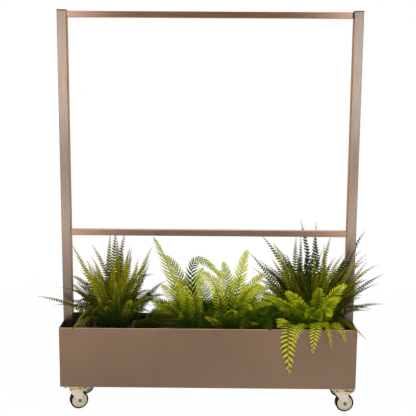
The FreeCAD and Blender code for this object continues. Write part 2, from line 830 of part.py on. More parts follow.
def save_planting():
    save("planter_liner", make_liner())
    save("soil_fill", make_soil())
    sword = {"reach": sword_reach, "width": sword_width, "bend_share": sword_bend_share,
             "facing_share": sword_facing_share, "width_shares": SWORD_WIDTH_SHARES}
    feather = {"reach": feather_reach, "width": feather_width, "bend_share": feather_bend_share,
               "facing_share": feather_facing_share, "width_shares": FEATHER_WIDTH_SHARES}
    loop = {**feather, "bend_share": loop_bend_share}
    spreading = {**feather, "facing_share": spreading_facing_share}
    hanging = {**feather, "width": hanging_width, "bend_share": hanging_bend_share,
               "facing_share": hanging_facing_share}
    drooping = {**hanging, "width": drooping_width}
    middle_left = crown_at(middle_left_crown_shares)
    front_edge = hanging_side_inset - box_depth / 2
    save("left_fern", *make_clump(crown_at(left_crown_shares), LEFT_FROND_SHARES, sword),
         *make_clump(crown_at(left_back_crown_shares), LEFT_BACK_FROND_SHARES, sword))
    save("right_fern", *make_clump(crown_at(right_crown_shares), RIGHT_FROND_SHARES, sword),
         *make_clump(crown_at(right_back_crown_shares), RIGHT_BACK_FROND_SHARES, sword))
    save("middle_fern", *make_clump(middle_left, MIDDLE_LEFT_FROND_SHARES, feather),
         *make_clump(middle_left, LOOP_FROND_SHARES, loop),
         *make_clump(crown_at(middle_right_crown_shares), MIDDLE_RIGHT_FROND_SHARES, feather),
         *make_clump(crown_at(shaded_crown_shares), SHADED_FROND_SHARES, feather),
         *make_clump(crown_at(middle_back_crown_shares), MIDDLE_BACK_FROND_SHARES, feather))
    save("trailing_fern", *make_clump(crown_at(spreading_crown_shares), SPREADING_FROND_SHARES, spreading),
         *make_clump((hanging_crown_share * box_length / 2, front_edge), HANGING_FROND_SHARES, hanging),
         *make_clump((drooping_crown_share * box_length / 2, front_edge), DROOPING_FROND_SHARES, drooping))


def save_casters():
    fixed = {"plate": [make_plate()], "kingpin": [make_kingpin()]}
    swivelling = {"race": [make_race()], "fork": [make_fork()], "axle": make_axle(),
                  "sleeve": [make_sleeve()], "wheel": [make_wheel()], "tyre": [make_tyre()],
                  "pedal": [make_pedal()], "pedal_pin": [make_pedal_pin()]}
    places = caster_places()
    for name, (_, _, heading) in CASTERS.items():
        for group, turn in ((fixed, 0), (swivelling, heading)):
            stand = FreeCAD.Placement(places[name], FreeCAD.Rotation(UP, turn))
            for piece, solids in group.items():
                copies = [solid.copy() for solid in solids]
                for copy in copies:
                    copy.Placement = stand.multiply(copy.Placement)
                save(name + "_" + piece, *copies)


os.makedirs("parts", exist_ok=True)
save_box_and_frame()
save_planting()
save_casters()
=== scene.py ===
"""Rolling planter screen in a bright studio: a bronze sheet box and tube frame on four casters, with ferns.
Metres, +Z up, front towards -Y."""
import math
import random

import bmesh
import bpy
import numpy as np
from mathutils import Matrix, Vector


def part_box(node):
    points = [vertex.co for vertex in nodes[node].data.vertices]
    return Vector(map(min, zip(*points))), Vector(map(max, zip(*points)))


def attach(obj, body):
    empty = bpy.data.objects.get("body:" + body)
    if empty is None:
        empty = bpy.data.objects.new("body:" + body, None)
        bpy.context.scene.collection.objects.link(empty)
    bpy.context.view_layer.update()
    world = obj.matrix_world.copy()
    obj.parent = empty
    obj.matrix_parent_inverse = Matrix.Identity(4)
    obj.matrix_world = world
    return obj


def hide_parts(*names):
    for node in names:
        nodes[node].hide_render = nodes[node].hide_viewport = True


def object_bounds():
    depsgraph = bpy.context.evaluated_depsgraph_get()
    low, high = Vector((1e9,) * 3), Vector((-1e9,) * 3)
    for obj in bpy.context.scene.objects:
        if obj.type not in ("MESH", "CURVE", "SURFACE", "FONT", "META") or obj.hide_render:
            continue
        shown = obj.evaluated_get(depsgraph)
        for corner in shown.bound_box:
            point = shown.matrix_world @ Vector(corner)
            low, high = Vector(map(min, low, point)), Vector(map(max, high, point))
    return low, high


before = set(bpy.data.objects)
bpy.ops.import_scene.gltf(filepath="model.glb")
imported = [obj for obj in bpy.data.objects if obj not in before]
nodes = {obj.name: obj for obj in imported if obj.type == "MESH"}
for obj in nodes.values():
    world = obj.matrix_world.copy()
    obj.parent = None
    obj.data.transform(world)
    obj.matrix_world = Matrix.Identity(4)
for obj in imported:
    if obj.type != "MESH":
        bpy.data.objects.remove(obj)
cad_low, cad_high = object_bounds()

CASTERS = ("front_left", "front_right", "rear_left", "rear_right")
UP = Vector((0, 0, 1))
ACROSS = Vector((0, 1, 0))

front_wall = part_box("trough")[0].y
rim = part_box("trough")[1].z
soil_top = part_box("soil_fill")[1].z

# Painted light on the metal: how deep the painted copper highlight along the rim is, how soft the painted
# warm reflection on the posts' inner sides ends, their two tones, the tint of a tube's gloss at a low angle,
# and how strongly both are painted
rim_highlight_depth = 0.0022
reflection_fade = 0.0012
rim_highlight_copper = (0.620, 0.330, 0.150)
reflection_copper = (0.350, 0.200, 0.110)
copper_edge = (1.0, 0.74, 0.53)
painted_light_share = 0.9

# Sheet: two tones of its lacquer, and its flake
sheet_dark = (0.164, 0.092, 0.046)
sheet_pale = (0.201, 0.120, 0.067)
sheet_flake = (0.250, 0.160, 0.096)

# Tube: how the grain is drawn out on each axis, how its gloss is turned and how far it spreads, the tones,
# and the index of the lacquer
POST_TUBE = {"stretch": (60.0, 60.0, 0.9), "turn": 0.0, "brushed": 0.70, "dark": (0.135, 0.090, 0.062),
             "pale": (0.215, 0.146, 0.100), "haze": (0.190, 0.130, 0.090), "coat_ior": 1.5}
RAIL_TUBE = {"stretch": (0.9, 60.0, 60.0), "turn": 0.25, "brushed": 0.95, "dark": (0.165, 0.068, 0.026),
             "pale": (0.250, 0.114, 0.050), "haze": (0.215, 0.102, 0.047), "coat_ior": 1.60}

# Plain finishes: the colour, its roughness, how metallic it is, how much of a worn tone shows, and its shine
PLAIN_FINISHES = {
    "black_plastic": {"colour": (0.014, 0.013, 0.013), "roughness": 0.36},
    "zinc_steel": {"colour": (0.540, 0.490, 0.390), "roughness": 0.32, "metallic": 0.85, "wear": 0.4,
                   "worn": (0.400, 0.355, 0.270)},
    "yellow_zinc": {"colour": (0.580, 0.450, 0.240), "roughness": 0.34, "metallic": 0.80, "wear": 0.4,
                    "worn": (0.430, 0.310, 0.150)},
    "pale_zinc": {"colour": (0.700, 0.625, 0.490), "roughness": 0.36, "metallic": 0.45, "wear": 0.3,
                  "worn": (0.580, 0.500, 0.370)},
    "dull_bolt": {"colour": (0.170, 0.120, 0.070), "roughness": 0.45, "metallic": 0.60},
    "cream_core": {"colour": (0.710, 0.645, 0.500), "roughness": 0.38, "wear": 0.3,
                   "worn": (0.620, 0.545, 0.400)},
    "black_tyre": {"colour": (0.007, 0.006, 0.006), "roughness": 0.66, "shine": 0.12},
}
# The pieces that take them: those of the whole screen, and those of each caster
SCREEN_FITTINGS = {
    "black_plastic": ("post_caps", "rail_spigots", "planter_liner"),
    "zinc_steel": ("rail_bolts", "post_bolts"),
    "yellow_zinc": ("caster_bolts", "caster_nuts"),
}
CASTER_FITTINGS = {
    "yellow_zinc": ("plate", "kingpin", "race", "sleeve", "pedal_pin"),
    "pale_zinc": ("fork", "pedal"),
    "dull_bolt": ("axle",),
    "cream_core": ("wheel",),
    "black_tyre": ("tyre",),
}

# Potting bark: its dark and brown lumps, and its fibre
bark_dark = (0.018, 0.012, 0.008)
bark_brown = (0.105, 0.062, 0.036)
bark_fibre = (0.210, 0.135, 0.080)

# Leaves: a dark green that also serves as painted shade, the fresh tone, a yellow-green that is partly real
# yellowing and partly painted sunlight, the stem's tone, where along the frond the painted shade at its foot
# fades, and how strongly the leaf glows as painted light in place of light shining through
LEAVES = {
    "sword_leaf": {"dark_and_shade_green": (0.010, 0.021, 0.001), "fresh": (0.130, 0.190, 0.006),
                   "yellowed_and_sunlit": (0.440, 0.390, 0.010), "stem": (0.085, 0.062, 0.010), "shaded_foot": (0.04, 0.52),
                   "painted_glow": 0.05},
    "feather_leaf": {"dark_and_shade_green": (0.014, 0.034, 0.001), "fresh": (0.250, 0.390, 0.006),
                     "yellowed_and_sunlit": (0.650, 0.690, 0.014), "stem": (0.150, 0.080, 0.016), "shaded_foot": (0.05, 0.60),
                     "painted_glow": 0.13},
}
dry_leaf = (0.330, 0.180, 0.022)

# The camera stands a little right of the middle, above the rim, and looks slightly down
camera_place = Vector((0.022, front_wall - 3.082, rim + 0.982))
camera_lens = 67.82
camera_yaw = math.radians(-0.46)
camera_pitch = math.radians(8.89)
camera_roll = math.radians(0.36)

# Softboxes, two on each side: the height of the middle, how tall it is, and its power
SOFTBOXES = ((1.50, 1.20, 17.5), (0.27, 0.50, 5.0))
softbox_side = 1.32
softbox_front = -3.15
softbox_width = 0.62
softbox_aim = Vector((0, 0, 0.9))
ceiling_place = (0, -0.45, 3.4)
ceiling_size = 3.0
ceiling_power = 92.0
room_glow = 0.28
front_glow = 0.16
front_fade = (-0.15, 0.25)
floor_size = 60.0
floor_white = (0.98, 0.98, 0.98, 1)
floor_glow = 0.98
floor_fade = (1.0, 3.0)

# A frond's middle line: how far from the crown it leaves the soil, as a share of its lean, and how high its
# bow stands, as a share of the tip's height
crown_share = 0.16
control_rise_share = 0.62
# How far a frond may turn from and to the front, and the most that it faces it
facing_play = (-0.22, 0.12)
most_facing = 0.95

# A leaflet's least width and the place where its swelling ends, its depth as a share of its width, and how
# much it thins
leaflet_point = 0.03
leaflet_end = 0.985
leaflet_depth = 0.12
leaflet_thinning = 0.8
# How far leaflets lean out at a frond's foot and in at its tip, how much they vary, and how fast they
# lengthen
lean_out_deg = 16
lean_in_deg = 14
lean_play_deg = 4
leaflet_play = (0.90, 1.06)
outline_rise = 2.2
outline_least = 0.09
stem_sides = 5
stem_cuts = 9
stem_taper = 0.75

# The shorter fronds beside one, as shares of its row, how far they stand aside, how broad they are and how
# much of its tint they keep, so that they are painted darker as shade
BESIDE = {"along": (0.60, 0.95), "behind": (0.5, 0.9), "above": (0.50, 0.90), "arch": (0.9, 1.4)}
beside_play = (-0.08, 0.08)
beside_breadth = (0.8, 1.0)
beside_light = 0.6
fern_seed = 7

# Each row: how far the tip stands along, behind and above its crown, and how far the frond arches over, all
# as shares of the fern's reach. The fronds that lie low and the dry ones have no solid of their own.
LEFT_FROND_SHARES = (
    (-0.81, -0.16, 0.39, 0.14),
    (-0.56, -0.20, 0.50, 0.10),
    (-0.46, -0.12, 0.94, 0.03),
    (-0.34, -0.27, 0.78, 0.05),
    (-0.30, 0.22, 0.86, 0.04),
    (-0.25, -0.16, 0.82, 0.03),
    (-0.19, -0.30, 0.76, 0.05),
    (-0.10, 0.24, 1.00, 0.02),
    (-0.03, 0.20, 1.05, 0.02),
    (0.06, 0.22, 1.01, 0.02),
    (0.00, -0.12, 0.90, 0.02),
    (0.14, -0.20, 0.88, 0.03),
    (0.19, 0.26, 0.70, 0.06),
    (0.24, -0.22, 0.73, 0.05),
    (0.35, 0.12, 0.86, 0.04),
    (-0.52, -0.28, 0.00, 0.36),
    (-0.60, 0.26, 0.46, 0.12),
    (0.02, -0.36, 0.62, 0.09),
    (-0.14, -0.385, 0.40, 0.16),
    (0.19, -0.385, 0.42, 0.15),
    (0.44, -0.26, 0.42, 0.15),
    (-0.36, -0.38, 0.30, 0.20),
    (0.30, 0.36, 0.62, 0.08),
    (0.10, 0.41, 0.78, 0.06),
    (-0.13, 0.42, 0.70, 0.07),
    (-0.33, 0.39, 0.60, 0.09),
    (0.50, 0.02, 0.52, 0.12),
    (0.36, -0.10, 0.28, 0.18),
    (0.40, 0.24, 0.34, 0.16),
)
RIGHT_FROND_SHARES = (
    (-0.68, -0.10, 0.86, 0.05),
    (-0.54, 0.25, 0.98, 0.04),
    (-0.42, -0.14, 0.96, 0.03),
    (-0.40, 0.32, 0.86, 0.05),
    (-0.12, 0.22, 1.14, 0.02),
    (0.05, 0.24, 1.12, 0.02),
    (-0.08, -0.18, 0.95, 0.02),
    (0.08, -0.15, 0.96, 0.02),
    (0.22, 0.28, 0.97, 0.03),
    (0.26, -0.28, 0.88, 0.04),
    (0.36, -0.20, 0.94, 0.03),
    (0.44, -0.15, 0.99, 0.03),
    (0.49, -0.25, 0.88, 0.05),
    (0.53, -0.10, 0.80, 0.06),
    (0.60, 0.38, 1.00, 0.04),
    (0.62, -0.19, 0.76, 0.06),
    (0.70, -0.15, 0.65, 0.08),
    (0.57, 0.44, 0.60, 0.10),
    (0.69, -0.24, 0.36, 0.17),
    (0.52, -0.29, 0.00, 0.36),
    (-0.16, -0.20, 0.70, 0.07),
    (-0.10, 0.42, 0.74, 0.07),
    (-0.34, 0.43, 0.58, 0.10),
    (0.26, 0.44, 0.62, 0.09),
    (-0.56, 0.15, 0.52, 0.12),
    (-0.30, -0.20, 0.82, 0.05),
    (-0.20, -0.24, 0.90, 0.04),
    (0.60, 0.34, 0.46, 0.14),
)
MIDDLE_LEFT_FROND_SHARES = (
    (-0.55, -0.07, 1.34, 0.06),
    (-0.40, 0.24, 1.02, 0.06),
    (-0.29, -0.17, 0.83, 0.16),
    (-0.45, -0.16, 0.69, 0.18),
    (-0.11, -0.26, 0.71, 0.20),
    (-0.56, -0.20, 0.42, 0.22),
    (-0.66, 0.20, 0.40, 0.20),
    (-0.18, -0.35, 0.32, 0.28),
    (-0.34, 0.46, 0.52, 0.16),
    (0.12, 0.46, 0.80, 0.12),
    (0.10, -0.20, 0.55, 0.24),
)
LYING_FROND_SHARES = (
    (0.78, -0.02, 0.30, 0.16),
    (0.74, -0.12, 0.20, 0.14),
    (0.60, -0.16, 0.10, 0.12),
    (0.70, 0.14, 0.36, 0.16),
    (0.48, -0.10, 0.26, 0.18),
    (0.44, 0.06, 0.40, 0.14),
    (0.58, -0.02, 0.46, 0.16),
)
LYING_FRONT_FROND_SHARES = (
    (0.42, -0.06, 0.14, 0.14),
    (0.60, -0.05, 0.10, 0.12),
    (0.72, -0.04, 0.20, 0.14),
)
DRY_FROND_SHARES = (
    (-0.35, -0.14, 0.24, 0.10),
    (0.27, -0.14, 0.20, 0.12),
    (0.40, -0.12, 0.14, 0.14),
)
LOOP_FROND_SHARES = (
    (0.42, -0.20, 0.77, 1.04),
)
MIDDLE_RIGHT_FROND_SHARES = (
    (0.23, -0.05, 1.17, 0.05),
    (0.47, -0.09, 0.85, 0.12),
    (0.43, -0.19, 0.72, 0.18),
    (-0.10, 0.32, 0.92, 0.08),
    (-0.39, -0.12, 0.87, 0.20),
    (0.56, 0.10, 0.62, 0.18),
    (0.58, -0.24, 0.46, 0.24),
    (0.30, -0.30, 0.40, 0.28),
    (0.06, -0.34, 0.34, 0.28),
    (-0.22, -0.34, 0.30, 0.30),
    (0.26, 0.46, 0.56, 0.16),
)
SHADED_FROND_SHARES = (
    (-0.34, -0.12, 0.40, 0.34),
    (0.06, -0.16, 0.42, 0.34),
    (0.24, 0.10, 0.44, 0.30),
    (-0.46, -0.18, 0.22, 0.32),
    (0.36, 0.00, 0.20, 0.30),
    (-0.28, -0.24, 0.10, 0.24),
    (0.14, -0.25, 0.09, 0.26),
)
SPREADING_FROND_SHARES = (
    (0.40, -0.14, 0.74, 0.14),
    (0.03, -0.16, 0.70, 0.16),
    (0.30, -0.20, 0.54, 0.22),
    (-0.43, -0.12, 0.62, 0.20),
    (-0.74, -0.10, 0.56, 0.18),
    (0.20, -0.20, 0.30, 0.34),
    (-0.16, -0.22, 0.30, 0.32),
)
HANGING_FROND_SHARES = (
    (-0.04, -0.21, -0.49, 0.84),
    (-0.20, -0.14, 0.14, 0.36),
)
DROOPING_FROND_SHARES = (
    (-0.30, -0.22, -0.14, 0.56),
    (-0.02, -0.21, -0.20, 0.62),
    (0.24, -0.22, -0.12, 0.58),
    (0.44, -0.20, -0.04, 0.46),
)

LEFT_BACK_FROND_SHARES = (
    (-0.34, 0.36, 0.62, 0.10),
    (-0.10, 0.38, 0.70, 0.08),
    (0.16, 0.37, 0.66, 0.09),
    (0.40, 0.30, 0.48, 0.14),
    (-0.52, 0.18, 0.50, 0.12),
    (0.02, 0.16, 0.92, 0.03),
)
RIGHT_BACK_FROND_SHARES = (
    (-0.40, 0.34, 0.56, 0.11),
    (-0.16, 0.38, 0.68, 0.08),
    (0.10, 0.37, 0.72, 0.08),
    (0.34, 0.33, 0.58, 0.10),
    (0.56, 0.20, 0.50, 0.13),
    (-0.04, 0.16, 0.96, 0.03),
)
MIDDLE_BACK_FROND_SHARES = (
    (-0.62, 0.30, 0.56, 0.18),
    (-0.30, 0.46, 0.62, 0.16),
    (0.06, 0.48, 0.70, 0.14),
    (0.40, 0.44, 0.58, 0.17),
    (0.70, 0.26, 0.50, 0.20),
)

# A fern's kind: its frond and leaf, its reach, how far out its fronds bend, how much they face the front,
# how far they sway and twist, below which height their tint is lowered so that they are painted darker as
# shade, and how far in front a frond must stand to be free of that painted shade. Then the flat frond: its
# length and width, its pairs of leaflets, where they start and how its outline runs, and the leaflet's width,
# shape, faces and set.
SWORD = {"frond": "sword", "leaf": "sword_leaf", "reach": 0.400, "bend_share": 0.34, "facing_share": 0.78,
         "sway_share": 0.05, "twist_deg": 24, "shaded_below": 0.70, "lit_before": -0.30,
         "length": 0.400, "width": 0.037, "pairs": 30, "first_share": 0.06, "start": 0.40, "taper": 2.2,
         "stem": 0.0017, "leaflet_width": 0.0122, "swell": 0.42, "fullness": 0.75, "stoutness": 0.60,
         "sides": 3, "cuts": 1, "lean_deg": 76, "droop_deg": 4, "jitter_deg": 5, "sweep": 0.16, "drop": 0.05}
FEATHER = {"frond": "feather", "leaf": "feather_leaf", "reach": 0.300, "bend_share": 0.30,
           "facing_share": 0.75, "sway_share": 0.05, "twist_deg": 24, "shaded_below": 0.85,
           "lit_before": -1.0,
           "length": 0.300, "width": 0.076, "pairs": 21, "first_share": 0.10, "start": 0.75, "taper": 3.0,
           "stem": 0.0014, "leaflet_width": 0.0082, "swell": 0.26, "fullness": 0.60, "stoutness": 0.30,
           "sides": 4, "cuts": 2, "lean_deg": 62, "droop_deg": 6, "jitter_deg": 8, "sweep": 0.20,
           "drop": 0.12}
LYING = {**SWORD, "reach": 0.300, "shaded_below": 0.40}
DRY = {**FEATHER, "shaded_below": 0.05}
LOOP = {**FEATHER, "bend_share": -0.90, "facing_share": 0.95, "sway_share": 0.0, "twist_deg": 0}
SPREADING = {**FEATHER, "facing_share": 0.80, "shaded_below": 0.40}
HANGING = {**FEATHER, "frond": "hanging", "bend_share": 0.74, "facing_share": 0.0, "shaded_below": 0.05,
           "width": 0.092, "pairs": 18, "taper": 3.6, "stem": 0.0030, "leaflet_width": 0.0064, "lean_deg": 84}

# Each clump: the CAD piece that it stands for, its kind, its crown along the box and behind the front wall,
# its fronds, the tints they take, where low tints also paint them darker as shade, how broad they are, and
# how many shorter fronds grow beside each one
CLUMPS = (
    ("left_fern", SWORD, (-0.376, 0.083), LEFT_FROND_SHARES, (0.1, 1.12), 1.0, 2),
    ("right_fern", SWORD, (0.434, 0.087), RIGHT_FROND_SHARES, (0.0, 0.6), 1.0, 4),
    ("middle_fern", FEATHER, (-0.060, 0.071), MIDDLE_LEFT_FROND_SHARES, (0.3, 0.9), 0.88, 0),
    ("middle_fern", LOOP, (-0.060, 0.071), LOOP_FROND_SHARES, (0.3, 0.5), 0.68, 0),
    ("middle_fern", FEATHER, (0.090, 0.067), MIDDLE_RIGHT_FROND_SHARES, (0.3, 0.9), 0.88, 0),
    ("middle_fern", FEATHER, (0.215, 0.070), SHADED_FROND_SHARES, (0.1, 0.6), 0.9, 1),
    ("left_fern", SWORD, (-0.402, 0.149), LEFT_BACK_FROND_SHARES, (0.2, 0.7), 1.0, 2),
    ("right_fern", SWORD, (0.390, 0.149), RIGHT_BACK_FROND_SHARES, (0.1, 0.5), 1.0, 3),
    ("middle_fern", FEATHER, (0.037, 0.149), MIDDLE_BACK_FROND_SHARES, (0.5, 0.9), 0.9, 0),
    ("left_fern", LYING, (-0.285, 0.070), LYING_FROND_SHARES, (0.15, 0.6), 1.1, 1),
    ("left_fern", LYING, (-0.320, 0.042), LYING_FRONT_FROND_SHARES, (0.1, 0.6), 1.0, 2),
    ("middle_fern", DRY, (0.090, 0.067), DRY_FROND_SHARES, (1.0, 1.1), 0.5, 0),
    ("trailing_fern", SPREADING, (0.440, 0.040), SPREADING_FROND_SHARES, (0.3, 0.75), 0.95, 1),
    ("trailing_fern", HANGING, (0.342, 0.031), HANGING_FROND_SHARES, (0.8, 0.9), 1.0, 0),
    ("trailing_fern", HANGING, (0.430, 0.031), DROOPING_FROND_SHARES, (0.7, 0.9), 0.72, 0),
)

# Low growth that covers the soil: the piece it belongs to, its kind, where its crowns stand along the box,
# and its tints, kept low so that it is painted dark as shade
LOW_GROWTH = (
    ("left_fern", SWORD, (-0.48, -0.43, -0.38, -0.345), (0.0, 0.15)),
    ("middle_fern", FEATHER, (-0.10, -0.04, 0.02, 0.08, 0.14, 0.20, 0.26, 0.32), (0.0, 0.2)),
    ("right_fern", SWORD, (0.36, 0.41, 0.46, 0.51), (0.0, 0.15)),
)
low_growth_behind = (0.055, 0.095, 0.150, 0.185)
low_growth_play = (-0.02, 0.02)
low_growth_fronds = 2
low_growth_breadth = 0.9
low_growth_reach = (0.22, 0.50)
low_growth_depth_share = 0.4
low_growth_above = (0.14, 0.40)
low_growth_arch = (0.12, 0.24)


# Shader sockets

class Link:
    """A socket in a node tree. Sums on it add Math nodes, and node() adds any other node."""

    def __init__(self, tree, socket=None):
        self.tree = tree
        self.socket = socket

    def node(self, kind, settings=None, sockets=None, output=0):
        made = self.tree.nodes.new("ShaderNode" + kind)
        for name, value in (settings or {}).items():
            setattr(made, name, value)
        for name, value in (sockets or {}).items():
            if isinstance(value, Link):
                self.tree.links.new(value.socket, made.inputs[name])
            else:
                made.inputs[name].default_value = value
        return Link(self.tree, made.outputs[output] if made.outputs else None)

    def other(self, output):
        """Another output of the same node."""
        return Link(self.tree, self.socket.node.outputs[output])

    def sum(self, operation, first, second):
        return self.node("Math", {"operation": operation}, {0: first, 1: second})

    def __add__(self, other):
        return self.sum("ADD", self, other)

    def __radd__(self, other):
        return self.sum("ADD", other, self)

    def __sub__(self, other):
        return self.sum("SUBTRACT", self, other)

    def __rsub__(self, other):
        return self.sum("SUBTRACT", other, self)

    def __mul__(self, other):
        return self.sum("MULTIPLY", self, other)

    def __rmul__(self, other):
        return self.sum("MULTIPLY", other, self)

    def between(self, low, high):
        """0 at low, 1 at high, and clamped outside."""
        return self.node("MapRange", {"interpolation_type": "SMOOTHSTEP"},
                         {"Value": self, "From Min": low, "From Max": high})

    def mix(self, first, second):
        """A colour between two, where this value is the share of the second."""
        colours = [colour if isinstance(colour, Link) else (*colour, 1.0) for colour in (first, second)]
        return self.node("Mix", {"data_type": "RGBA"}, {0: self, 6: colours[0], 7: colours[1]}, output=2)

    def place(self):
        """The place on the piece, in its own coordinates."""
        return self.node("TexCoord", output="Object")

    def noise(self, scale, detail, stretch=(1, 1, 1)):
        """A noise on the piece's own coordinates, drawn out along its axes."""
        place = self.node("Mapping", None, {"Vector": self.place(), "Scale": stretch})
        return self.node("TexNoise", None, {"Vector": place, "Scale": scale, "Detail": detail}, output="Fac")

    def bump(self, height, distance):
        return self.node("Bump", None, {"Height": height, "Distance": distance})


def new_finish(name):
    """An empty material and a link to start its nodes from."""
    material = bpy.data.materials.new(name)
    material.use_nodes = True
    material.node_tree.nodes.clear()
    return material, Link(material.node_tree)


def close_finish(material, start, **sockets):
    """Ends a finish in one principled surface."""
    named = {name.replace("_", " ").title(): value for name, value in sockets.items()}
    named = {name.replace("Ior", "IOR"): value for name, value in named.items()}
    named = {name: (*value, 1.0) if isinstance(value, tuple) and len(value) == 3 else value
             for name, value in named.items()}
    surface = start.node("BsdfPrincipled", None, named)
    start.node("OutputMaterial", None, {"Surface": surface})
    return material


# Finishes

def bronze_sheet_finish():
    """Bronze-taupe lacquer on sheet: fine flake, a faint cloud in its tone, a thin painted copper highlight
    along the top of the rim, and a satin gloss.
    """
    material, start = new_finish("bronze_sheet")
    cloud = start.noise(3.0, 2.0)
    flake = start.noise(900.0, 1.0)
    colour = cloud.between(0.30, 0.70).mix(sheet_dark, sheet_pale)
    colour = (flake.between(0.45, 0.75) * 0.35).mix(colour, sheet_flake)
    height = start.node("SeparateXYZ", None, {"Vector": start.place()}, output="Z")
    # Painted highlight: the top two millimetres of the sheet, at the rim, turn a bright copper tone.
    colour = (height.between(rim - rim_highlight_depth, rim - rim_highlight_depth / 2) * painted_light_share).mix(colour, rim_highlight_copper)
    return close_finish(material, start, base_color=colour, metallic=0.62, roughness=0.36 + 0.10 * flake,
                        normal=start.bump(flake, 0.00006), coat_weight=0.5, coat_roughness=0.30)


def bronze_tube_finish(name, reflection_side, stretch, turn, brushed, dark, pale, haze, coat_ior):
    """Brushed bronze tube: grain along the tube, so that gloss spreads across it. On the posts' inner sides,
    a warm copper tone is painted in as a reflection and the lacquer is left off."""
    material, start = new_finish(name)
    grain = start.noise(7.0, 6.0, stretch)
    cloud = start.noise(5.0, 2.0)
    colour = grain.between(0.30, 0.70).mix(dark, pale)
    colour = (cloud.between(0.35, 0.75) * 0.35).mix(colour, haze)
    coat = 1.0
    # Painted reflection: the posts' inner sides take a warm copper tone and lose their lacquer.
    if reflection_side:
        along = start.node("SeparateXYZ", None, {"Vector": start.place()}, output="X")
        aside = start.node("Math", {"operation": "ABSOLUTE"}, {0: along})
        painted_reflection = 1 - aside.between(reflection_side, reflection_side + reflection_fade)
        colour = (painted_reflection * painted_light_share).mix(colour, reflection_copper)
        coat = 1 - painted_reflection
    return close_finish(material, start, base_color=colour, metallic=0.92, roughness=0.26 + 0.14 * grain,
                        normal=start.bump(grain, 0.00008), anisotropic=brushed, anisotropic_rotation=turn,
                        coat_weight=coat, coat_roughness=0.24, coat_ior=coat_ior, specular_tint=copper_edge)


def plain_finish(name, colour, roughness, metallic=0.0, wear=0.0, worn=None, shine=0.5):
    """A plain moulded, plated or painted surface with a soft variation in gloss and an optional worn tone."""
    material, start = new_finish(name)
    cloud = start.noise(40.0, 3.0)
    shade = (cloud.between(0.35, 0.75) * wear).mix(colour, worn) if wear else colour
    return close_finish(material, start, base_color=shade, metallic=metallic,
                        roughness=roughness + 0.12 * cloud,
                        normal=start.bump(start.noise(600.0, 2.0), 0.00005), specular_ior_level=shine)


def potting_bark_finish():
    """Dark lumps of potting bark with paler fibre."""
    material, start = new_finish("potting_bark")
    lump = start.noise(60.0, 5.0)
    fibre = start.noise(220.0, 4.0, (1.0, 1.0, 0.3))
    colour = lump.between(0.35, 0.70).mix(bark_dark, bark_brown)
    colour = (fibre.between(0.55, 0.80) * 0.6).mix(colour, bark_fibre)
    return close_finish(material, start, base_color=colour, roughness=0.80 + 0.15 * fibre,
                        normal=start.bump(lump + fibre * 0.4, 0.0020))


def leaf_finish(name, dark_and_shade_green, fresh, yellowed_and_sunlit, stem, shaded_foot, painted_glow):
    """A leaf: darker towards the stem and fresher at the leaflet ends, with painted shade at the frond's foot
    and over fronds whose tint carries shade, yellow-green at the tips that is partly real yellowing and
    partly painted sunlight, and some fronds turned brown. It glows faintly by its own colour, as painted
    light. Each point of a frond is painted with its place along and across the frond and with the frond's
    tint and shade."""
    material, start = new_finish(name)
    painted = start.node("Attribute", {"attribute_name": "leaf"}, output="Color")
    along = start.node("SeparateColor", None, {"Color": painted})
    across, tint_and_shade = along.other("Green"), along.other("Blue")
    cloud = start.noise(30.0, 3.0)
    vein = start.noise(420.0, 2.0)
    colour = (across * 0.50 + cloud * 0.50).between(0.20, 0.80).mix(dark_and_shade_green, fresh)
    # Yellow-green towards the tips of fronds with a high tint: partly real yellowing, partly painted
    # sunlight, as the tint is lowered for fronds in shade.
    colour = ((along * 0.75 + tint_and_shade * 0.85 + cloud * 0.30).between(0.65, 1.45) * 0.9).mix(colour, yellowed_and_sunlit)
    colour = (tint_and_shade.between(0.84, 0.94) * along.between(0.30, 0.80) * 0.85).mix(colour, dry_leaf)
    colour = ((1 - across).between(0.87, 0.95) * (0.8 - 0.4 * along.between(0.50, 1.0))).mix(colour, stem)
    # Painted shade: the frond's foot, and all of a frond with a low tint, turn to the dark shade green.
    colour = (along.between(*shaded_foot) * (0.25 + 0.75 * tint_and_shade.between(0.02, 0.30))).mix(dark_and_shade_green, colour)
    # The leaf glows by its own colour: painted light in place of light shining through it.
    return close_finish(material, start, base_color=colour, roughness=0.48 + 0.20 * vein,
                        normal=start.bump(vein, 0.0003), specular_ior_level=0.06, emission_color=colour,
                        emission_strength=painted_glow)


def dress(finish, *names):
    """Gives CAD pieces one finish."""
    for name in names:
        piece = nodes[name]
        piece.data.materials.clear()
        piece.data.materials.append(finish)


def dress_frame_and_casters():
    dress(bronze_sheet_finish(), "trough", "left_end_panel", "right_end_panel")
    post = bronze_tube_finish("bronze_post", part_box("right_post")[0].x, **POST_TUBE)
    dress(post, "left_post", "right_post")
    rail = bronze_tube_finish("bronze_rail", None, **RAIL_TUBE)
    dress(rail, "top_rail", "lower_rail")
    finishes = {name: plain_finish(name, **values) for name, values in PLAIN_FINISHES.items()}
    for finish, pieces in SCREEN_FITTINGS.items():
        dress(finishes[finish], *pieces)
    for finish, pieces in CASTER_FITTINGS.items():
        dress(finishes[finish], *[caster + "_" + piece for caster in CASTERS for piece in pieces])
    dress(potting_bark_finish(), "soil_fill")


# Modelling by hand

def deselect():
    bpy.ops.object.select_all(action="DESELECT")


def select_only(*objects):
    deselect()
    for piece in objects:
        piece.select_set(True)
    bpy.context.view_layer.objects.active = objects[0]


def pick(test):
    """In edit mode: select the vertices whose place passes a test, and nothing else."""
    bpy.ops.mesh.select_all(action="DESELECT")
    mesh = bmesh.from_edit_mesh(bpy.context.edit_object.data)
    for vertex in mesh.verts:
        vertex.select = test(vertex.co)
    mesh.select_flush_mode()
    bmesh.update_edit_mesh(bpy.context.edit_object.data)


